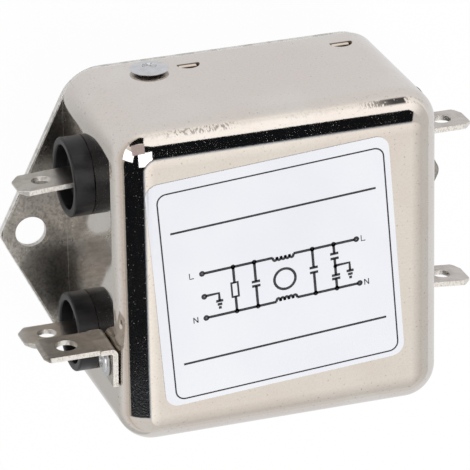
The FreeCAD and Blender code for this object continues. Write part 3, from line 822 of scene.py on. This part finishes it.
def turned(profile, place, turn, material, slot_size=(0.0, 0.0), segments=72):
    """One turned piece's mesh, with its normals outwards and its corners crisp."""
    points = bpy.data.meshes.new("profile")
    points.from_pydata([(point.x, 0, point.y) for point in profile], [], [])
    values = {
        "Segments": segments,
        "Slot Width": slot_size[0],
        "Slot Thickness": slot_size[1],
        "Turn": turn,
        "Place": place,
        "Material": material,
    }
    mesh = shaped(points, turning, values)
    shape = bmesh.new()
    shape.from_mesh(mesh)
    bmesh.ops.remove_doubles(shape, verts=shape.verts, dist=seam_gap)
    bmesh.ops.recalc_face_normals(shape, faces=shape.faces)
    shape.to_mesh(mesh)
    shape.free()
    mesh.shade_smooth()
    mesh.set_sharp_from_angle(angle=math.radians(30))
    return mesh


def rivet_profile(head, dome, shank, grip, undercut, flange=0.0):
    """A set blind rivet: domed head over its rim, the mandrel's recess, shank and bulb."""
    crown = dome - 0.5 * MM
    sphere = (head ** 2 + crown ** 2) / (2 * crown)
    centre = dome - sphere
    recess = head * 0.38
    mandrel = recess * 0.72
    recess_depth = 0.7 * MM
    recess_floor = dome - recess_depth * 0.6
    bulb = shank + 0.65 * MM
    bulb_end = -grip - 2.6 * MM
    chamfer = 0.6 * MM
    points = [
        (0, bulb_end),
        (bulb - chamfer, bulb_end),
        (bulb, bulb_end + chamfer),
        (bulb, -grip),
        (shank, -grip),
        (shank, 0),
        (head * 0.66, 0),
        (head - 0.12 * MM, undercut),
    ]

    # The dome runs in to the recess, and a flange is a step down outside the ledge.
    ledge = head * 0.7
    ledge_foot = head * 0.72
    steps = 10
    for step in range(steps + 1):
        radius = head + (recess - head) * step / steps
        level = centre + math.sqrt(sphere ** 2 - radius ** 2)
        if flange and radius > ledge:
            level -= flange
        elif flange and points[-1][0] > ledge:
            points.append((ledge_foot, level - flange))
            radius = ledge
        points.append((radius, level))

    points += [
        (recess * 0.93, recess_floor),
        (mandrel, recess_floor),
        (mandrel * 0.6, dome - recess_depth * 0.85),
        (0, dome - recess_depth),
    ]
    return [Vector(point) for point in points]


# Wall rivets. Blind rivets of plated steel, set from outside through the can's long walls
# into the angle strips, one on each side, with a domed head and the mandrel's recess.
quarter = math.radians(90)
rivet_steel = coated(
    "rivet_steel",
    (0.76, 0.765, 0.775),
    (0.66, 0.665, 0.675),
    700,
    0.3,
    metallic=1.0,
    relief=0.012 * MM,
)
wall_rivet = rivet_profile(
    head=2.95 * MM, dome=0.95 * MM, shank=1.6 * MM, grip=1.8 * MM, undercut=0.34 * MM
)
for name, side in (("plate_rivet_top", 1), ("plate_rivet_bottom", -1)):
    low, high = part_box(name)
    place = Vector(((low.x + high.x) / 2, side * can_high.y, (low.z + high.z) / 2))
    mesh = turned(wall_rivet, place, (-side * quarter, 0, 0), rivet_steel)
    finished("wall_" + name.split("_", 1)[1], mesh, rivet_steel, "rivet_metal", name)


# Terminal bushings. Black glass-filled nylon, moulded as a cup round the tab's root, with
# a neck through the wall and a flange inside it. Moulding leaves a satin skin.
bushing_black, graph, place = new_finish("bushing_black")
skin = grain(graph, place, 2200, 3.0)
bloom = grain(graph, place, 260, 3.0)
streaks = grain(graph, place, 1500, 2.0, (0.12, 1, 1))
bushing_tone = graph.blend(bloom.step(0.3, 0.8), (0.010, 0.010, 0.012), (0.022, 0.022, 0.025))
bushing_tone = graph.blend(streaks.step(0.55, 0.8) * 0.5, bushing_tone, (0.04, 0.04, 0.043))
shade(
    graph,
    bushing_tone,
    0.26 + bloom * 0.16,
    normal=bumped(graph, skin, 0.6, 0.04 * MM),
    Specular_IOR_Level=0.36,
)

bushing_radius = 6.0 * MM
bushing_bore = 4.8 * MM
bushing_neck = 4.9 * MM
bushing_flange = 5.6 * MM
bushing_flange_thickness = 1.0 * MM
wall_outside = can_high.x
wall_inside = wall_outside - can_wall
flange_face = wall_inside - bushing_flange_thickness
cup_floor = wall_outside + 0.9 * MM
cup_end = wall_outside + 3.1 * MM
lip = 0.3 * MM
foot = 0.16 * MM
root = 0.25 * MM
bushing_profile = softened(
    [
        (0, flange_face),
        (bushing_flange, flange_face),
        (bushing_flange, wall_inside),
        (bushing_neck, wall_inside),
        (bushing_neck, wall_outside),
        (bushing_radius, wall_outside),
        (bushing_radius, cup_end),
        (bushing_bore, cup_end),
        (bushing_bore, cup_floor),
        (0, cup_floor),
    ],
    [0, lip, 0, 0, 0, foot, lip, lip, root, 0],
)
slot_size = (6.46 * MM, 0.96 * MM)
for end in ("input", "output"):
    for pole in ("line", "neutral"):
        node = f"{end}_{pole}_bushing"
        low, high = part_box(node)
        place = Vector((0, (low.y + high.y) / 2, (low.z + high.z) / 2))
        turn = (0, quarter if end == "output" else -quarter, 0)
        mesh = turned(bushing_profile, place, turn, bushing_black, slot_size)
        finished(f"{end}_{pole}_cup", mesh, bushing_black, "bushing_plastic", node)


# Terminal tabs. Tinned brass strip, 6.3 by 0.8 mm, blanked with a bevelled tip and a
# locking hole. The flats are dull and rubbed along their length, the sheared edges painted
# bright as a highlight.
def strip_metal(name, colour, stain, rub_scale):
    """Plated strip with rolling marks along X and cloudy handling stains."""
    material, graph, place = new_finish(name)
    rolling = grain(graph, place, rub_scale, 3.0, (0.05, 1, 1))
    clouds = grain(graph, place, 420, 4.0, distortion=0.8)
    tone = graph.blend(clouds.step(0.3, 0.8), colour, stain)
    tone = graph.blend(rolling.step(0.52, 0.8) * 0.3, tone, (0.85, 0.82, 0.78))
    roughness = 0.24 + rolling * 0.14 + clouds * 0.08
    relief = rolling + clouds * 0.4
    shade(graph, tone, roughness, 1.0, bumped(graph, relief, 0.4, 0.02 * MM))
    return material


edge_rounding = 0.07 * MM
tab_tin = strip_metal("tab_tin", (0.68, 0.635, 0.585), (0.52, 0.48, 0.435), 2600)
# Cut edges painted brighter than the tin: a painted highlight along the sheared edges.
tab_edge_highlight = sheared_with_highlight(
    "tab_edge_highlight",
    colour=(0.90, 0.875, 0.835),
    torn=(0.74, 0.70, 0.655),
    scale=4200,
    through=(1, 0.5, 1),
    metallic=0.9,
)
for end in ("input", "output"):
    for pole in ("line", "neutral"):
        node = f"{end}_{pole}_tab"
        finished(
            f"{end}_{pole}_terminal",
            worked_copy(node, edge_rounding),
            tab_tin,
            "terminal_metal",
            node,
            edges=tab_edge_highlight,
            flats=((0, 1, 0),),
        )


# Ground tab. Nickel-plated strip bent at the wall and riveted beside the neutral terminal,
# a little askew. The ring lug on the rivet's inner end is behind the wall.
ground_nickel = strip_metal("ground_nickel", (0.62, 0.58, 0.525), (0.38, 0.35, 0.31), 1800)
finished(
    "ground_terminal",
    worked_copy("ground_tab", edge_rounding),
    ground_nickel,
    "ground_tab_metal",
    "ground_tab",
    # The cut edges share the tabs' painted highlight.
    edges=tab_edge_highlight,
    flats=((1, 0, 0), (0, 1, 0)),
)
finish_solids(tab_tin, "ground_lug")

ground_thickness = 0.8 * MM
low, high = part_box("ground_tab_rivet")
ground_rivet = rivet_profile(
    head=2.4 * MM,
    dome=0.85 * MM,
    shank=1.2 * MM,
    grip=2.1 * MM,
    undercut=0.06 * MM,
    flange=0.24 * MM,
)
place = Vector((can_low.x - ground_thickness, (low.y + high.y) / 2, (low.z + high.z) / 2))
mesh = turned(ground_rivet, place, (0, -quarter, 0), rivet_steel)
finished("ground_rivet", mesh, rivet_steel, "rivet_metal", "ground_tab_rivet")


# Label. A white polyester film stuck on a few degrees askew, one corner lapping the can's
# round edge. It is printed with a frame, two rules and the filter's circuit in grey ink.
film_white, graph, place = new_finish("film_white")
fibres = grain(graph, place, 700, 3.0)
drift = grain(graph, place, 60, 2.0)
film_tone = graph.blend(drift.step(0.3, 0.7), (0.80, 0.81, 0.86), (0.84, 0.85, 0.885))
film_relief = bumped(graph, fibres, 0.25, 0.01 * MM)
shade(graph, film_tone, 0.36 + fibres * 0.1, normal=film_relief)

ink_gap = 0.02 * MM
label_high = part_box("label")[1]
film = worked_copy("label", 0)
for vertex in film.vertices:
    vertex.co.z = min(vertex.co.z, label_high.z - ink_gap)
finished("label_film", film, film_white, "label_film", "label")

ink_grey, graph, place = new_finish("ink_grey")
dots = grain(graph, place, 3000, 2.0)
ink_tone = graph.blend(dots.step(0.35, 0.75), (0.022, 0.022, 0.027), (0.05, 0.05, 0.058))
shade(graph, ink_tone, 0.5 + dots * 0.1)


def printing_tree():
    """Turns loose edges into flat printed strokes of one width."""
    inputs = {
        "Lines": "Geometry",
        "Stroke Width": "Float",
        "Ink Thickness": "Float",
        "Material": "Material",
    }
    tree, sockets = new_tree("printed_strokes", inputs, "Print")
    graph = Graph(tree)
    path = graph.node("GeometryNodeMeshToCurve", inputs={"Mesh": graph.given("Lines")})
    path = graph.node("GeometryNodeSetCurveNormal", {"mode": "Z_UP"}, {"Curve": path})
    section = graph.node(
        "GeometryNodeCurvePrimitiveQuadrilateral",
        inputs={"Width": graph.given("Stroke Width"), "Height": graph.given("Ink Thickness")},
    )
    ribbon = graph.node(
        "GeometryNodeCurveToMesh",
        inputs={"Curve": path, "Profile Curve": section, "Fill Caps": True},
    )
    ribbon = graph.node("GeometryNodeRealizeInstances", inputs={"Geometry": ribbon})
    ribbon = graph.node(
        "GeometryNodeSetMaterial", inputs={"Geometry": ribbon, "Material": graph.given("Material")}
    )
    graph.node("NodeGroupOutput", inputs={"Print": ribbon})
    return tree, sockets


printing = printing_tree()
label_askew = math.radians(4.1)
label_turn = Matrix.Rotation(label_askew, 2)
ink_level = label_high.z - ink_gap / 2


def printed(name, strokes, width):
    """Prints strokes, given in millimetres along the label's own axes."""
    points = []
    edges = []
    for stroke, closed in strokes:
        first = len(points)
        points += stroke
        edges += [(first + number, first + number + 1) for number in range(len(stroke) - 1)]
        if closed:
            edges.append((first + len(stroke) - 1, first))
    placed = [label_turn @ Vector(point) * MM for point in points]
    lines = bpy.data.meshes.new("lines")
    lines.from_pydata([(point.x, point.y, ink_level) for point in placed], edges, [])
    values = {
        "Stroke Width": width * MM,
        "Ink Thickness": ink_gap * 0.8,
        "Material": ink_grey,
    }
    return finished(name, shaped(lines, printing, values), ink_grey, "label_film")


def line(*points):
    """An open stroke."""
    return list(points), False


def arc(centre, radius, start, end, steps):
    """Points round a centre, with the angles in degrees."""
    result = []
    for number in range(steps + 1):
        angle = math.radians(start + (end - start) * number / steps)
        result.append((centre[0] + radius * math.cos(angle), centre[1] + radius * math.sin(angle)))
    return result


def ring(centre, radius):
    """A closed round stroke."""
    sides = 24
    return arc(centre, radius, 0, 360 * (sides - 1) / sides, sides - 1), True


def rounded_frame(low, high, radius):
    """A closed rectangle with round corners."""
    centres = (
        (high[0] - radius, high[1] - radius),
        (low[0] + radius, high[1] - radius),
        (low[0] + radius, low[1] + radius),
        (high[0] - radius, low[1] + radius),
    )
    outline = []
    for number, centre in enumerate(centres):
        outline += arc(centre, radius, number * 90, (number + 1) * 90, 6)
    return outline, True


frame_low = (-18.475, -16.1)
frame_high = (16.44, 17.04)
frame_corner = 1.4
printed("label_frame", [rounded_frame(frame_low, frame_high, frame_corner)], width=0.22)
rules = [
    line((-16.95, 10.65), (14.84, 10.8)),
    line((-16.85, -10.55), (14.92, -10.33)),
]
printed("label_rules", rules, width=0.32)

# The circuit: two buses, each with a coil on the shared core, and the parts across them.
line_bus = 3.3
neutral_bus = -3.88
bus_start = -12.5
bus_end = 10.95
input_rings = -12.77
output_rings = 11.22
terminal_radius = 0.25
coil_start = -1.85
coil_pitch = 0.65
coil_rise = 0.52
coil_loops = 5
coil_end = coil_start + coil_pitch * coil_loops
strokes = []
for bus, swing in ((line_bus, -1), (neutral_bus, 1)):
    coil = []
    for loop in range(coil_loops):
        loop_middle = coil_start + (loop + 0.5) * coil_pitch
        for x, y in arc((0, 0), 1, 180, 0, 8):
            coil.append((loop_middle + x * coil_pitch / 2, bus + y * coil_rise * swing))
    strokes.append(line((bus_start, bus), (coil_start, bus)))
    strokes.append((coil, False))
    strokes.append(line((coil_end, bus), (bus_end, bus)))
    for x in (input_rings, output_rings):
        strokes.append(ring((x, bus), terminal_radius))
core_middle = (-0.25, -0.45)
core_radius = 1.64
strokes.append(ring(core_middle, core_radius))


def plates(x, top, bottom, upper, lower):
    """A capacitor across two levels: leads and a pair of plates."""
    half = 0.64
    return [
        line((x, top), (x, upper)),
        line((x - half, upper), (x + half, upper)),
        line((x - half, lower), (x + half, lower)),
        line((x, lower), (x, bottom)),
    ]


def earth(start, drop_x, bar_top):
    """A ground symbol: a lead across and down, and three bars that shorten."""
    bar_pitch = 0.54
    result = [line(start, (drop_x, start[1]), (drop_x, bar_top))]
    for number, half in enumerate((0.55, 0.36, 0.22)):
        level = bar_top - number * bar_pitch
        result.append(line((drop_x - half, level), (drop_x + half, level)))
    return result


resistor_x = -8.0
resistor_half = 0.5
resistor_top = 0.75
resistor_bottom = -1.5
resistor_box = [
    (resistor_x - resistor_half, resistor_bottom),
    (resistor_x + resistor_half, resistor_bottom),
    (resistor_x + resistor_half, resistor_top),
    (resistor_x - resistor_half, resistor_top),
]
strokes.append(line((resistor_x, line_bus), (resistor_x, resistor_top)))
strokes.append(line((resistor_x, resistor_bottom), (resistor_x, neutral_bus)))
strokes.append((resistor_box, True))

input_capacitor_x = -4.72
output_capacitor_x = 4.3
ground_pair_x = 7.64
pair_middle = -0.3
strokes += plates(input_capacitor_x, line_bus, neutral_bus, upper=0.16, lower=-0.55)
strokes += plates(output_capacitor_x, line_bus, neutral_bus, upper=0.30, lower=-0.48)
strokes += plates(ground_pair_x, line_bus, pair_middle, upper=1.78, lower=1.0)
strokes += plates(ground_pair_x, pair_middle, neutral_bus, upper=-1.72, lower=-2.28)
strokes += earth((ground_pair_x, pair_middle + 0.12), drop_x=9.88, bar_top=-1.5)
strokes.append(ring((input_rings, -0.42), terminal_radius))
strokes += earth((bus_start, -0.36), drop_x=-10.5, bar_top=-1.62)
printed("label_circuit", strokes, width=0.4)

join_radius = 0.24
pair_join_radius = 0.16
joins = []
for x in (resistor_x, input_capacitor_x, output_capacitor_x, ground_pair_x):
    for bus in (line_bus, neutral_bus):
        joins.append(ring((x, bus), join_radius))
joins.append(ring((ground_pair_x, pair_middle), pair_join_radius))
printed("label_joins", joins, width=0.28)

mark_height = 0.9
mark_width = 0.62
input_marks = -14.7
output_marks = 12.0


def mark(letter, x, y):
    """A plain terminal mark, drawn with straight strokes."""
    low = y - mark_height / 2
    high = y + mark_height / 2
    right = x + mark_width
    if letter == "L":
        return [line((x, high), (x, low), (right, low))]
    return [
        line((x, low), (x, high)),
        line((x, high), (right, low)),
        line((right, low), (right, high)),
    ]


marks = []
for x in (input_marks, output_marks):
    marks += mark("L", x, line_bus)
    marks += mark("N", x, neutral_bus)
printed("label_marks", marks, width=0.14)
